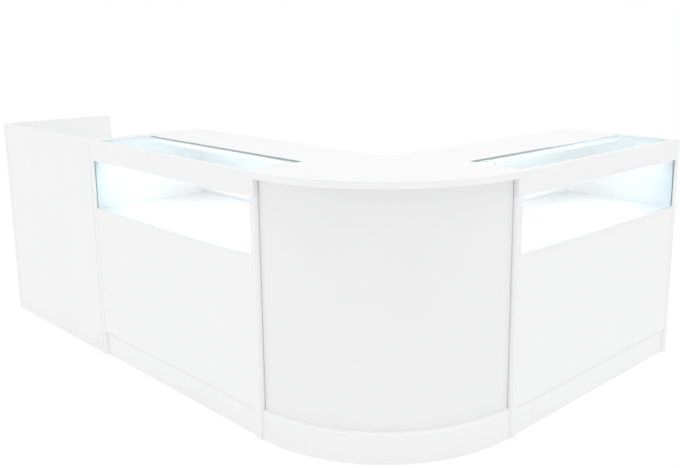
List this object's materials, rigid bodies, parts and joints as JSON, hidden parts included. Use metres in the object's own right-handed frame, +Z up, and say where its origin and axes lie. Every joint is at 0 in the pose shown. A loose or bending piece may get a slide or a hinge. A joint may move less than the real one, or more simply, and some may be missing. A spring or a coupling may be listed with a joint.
{
  "type": "shop counter",
  "caption": "L-shaped white shop counter: till block with drawer, half-glazed display units with sliding rear doors, and a quarter-round corner unit between them.",
  "frame": {"origin": "on the floor, under the middle of the counter's bounding box", "axes": "+Z up; the row with the till runs along X with its customers' side facing -Y; the other display unit runs along Y with its customers' side facing +X"},
  "size_m": [2.8, 1.85, 1],
  "materials": {
    "white_laminate": "white melamine-faced board, satin",
    "clear_glass": "clear toughened glass with polished edges",
    "satin_aluminium": "satin anodised",
    "light_diffuser": "opal diffuser",
    "plated_steel": "bright zinc plate",
    "grey_plastic": "moulded, matt"
  },
  "bodies": {
    "counter": {"cam_fittings": "plated_steel", "corner_base": "white_laminate", "corner_front_panel": "white_laminate", "corner_gable_left": "white_laminate", "corner_gable_right": "white_laminate", "corner_plinth": "white_laminate", "corner_shelf": "white_laminate", "corner_worktop": "white_laminate", "floor_glides": "grey_plastic", "left_display_base": "white_laminate", "left_display_deck": "white_laminate", "left_display_front_glass": "clear_glass", "left_display_front_panel": "white_laminate", "left_display_front_rail": "white_laminate", "left_display_gable_left": "white_laminate", "left_display_gable_right": "white_laminate", "left_display_kick": "white_laminate", "left_display_light_strip": "light_diffuser", "left_display_plinth": "white_laminate", "left_display_shelf": "white_laminate", "left_display_top_board": "white_laminate", "left_display_top_glass": "clear_glass", "left_display_track_lower": "satin_aluminium", "left_display_track_upper": "satin_aluminium", "right_display_base": "white_laminate", "right_display_deck": "white_laminate", "right_display_front_glass": "clear_glass", "right_display_front_panel": "white_laminate", "right_display_front_rail": "white_laminate", "right_display_gable_left": "white_laminate", "right_display_gable_right": "white_laminate", "right_display_kick": "white_laminate", "right_display_light_strip": "light_diffuser", "right_display_plinth": "white_laminate", "right_display_shelf": "white_laminate", "right_display_top_board": "white_laminate", "right_display_top_glass": "clear_glass", "right_display_track_lower": "satin_aluminium", "right_display_track_upper": "satin_aluminium", "shelf_pins": "plated_steel", "till_base": "white_laminate", "till_cable_grommet": "grey_plastic", "till_drawer_runners": "plated_steel", "till_end_panel": "white_laminate", "till_front_panel": "white_laminate", "till_kick": "white_laminate", "till_shelf": "white_laminate", "till_side_panel": "white_laminate", "till_worktop": "white_laminate", "unit_bolts": "plated_steel"},
    "left_door_left": {"left_display_door_left": "white_laminate"},
    "left_door_right": {"left_display_door_right": "white_laminate"},
    "right_door_left": {"right_display_door_left": "white_laminate"},
    "right_door_right": {"right_display_door_right": "white_laminate"},
    "drawer": {"till_drawer_front": "white_laminate", "till_drawer_box": "white_laminate", "till_drawer_handle": "satin_aluminium", "till_drawer_slides": "plated_steel"},
    "drawer_lock": {"till_drawer_lock": "plated_steel"}
  },
  "joints": [
    {"name": "left_door_left_slide", "type": "slide", "parent": "counter", "child": "left_door_left", "axis": [1, 0, 0], "range_m": [0, 0.559]},
    {"name": "left_door_right_slide", "type": "slide", "parent": "counter", "child": "left_door_right", "axis": [1, 0, 0], "range_m": [-0.559, 0]},
    {"name": "right_door_left_slide", "type": "slide", "parent": "counter", "child": "right_door_left", "axis": [0, 1, 0], "range_m": [0, 0.559]},
    {"name": "right_door_right_slide", "type": "slide", "parent": "counter", "child": "right_door_right", "axis": [0, 1, 0], "range_m": [-0.559, 0]},
    {"name": "drawer_slide", "type": "slide", "parent": "counter", "child": "drawer", "axis": [0, 1, 0], "range_m": [0, 0.33]},
    {"name": "drawer_lock_turn", "type": "hinge", "parent": "drawer", "child": "drawer_lock", "pos_m": [-0.925, -0.347, 0.753], "axis": [0, -1, 0], "range_deg": [0, 90]}
  ]
}
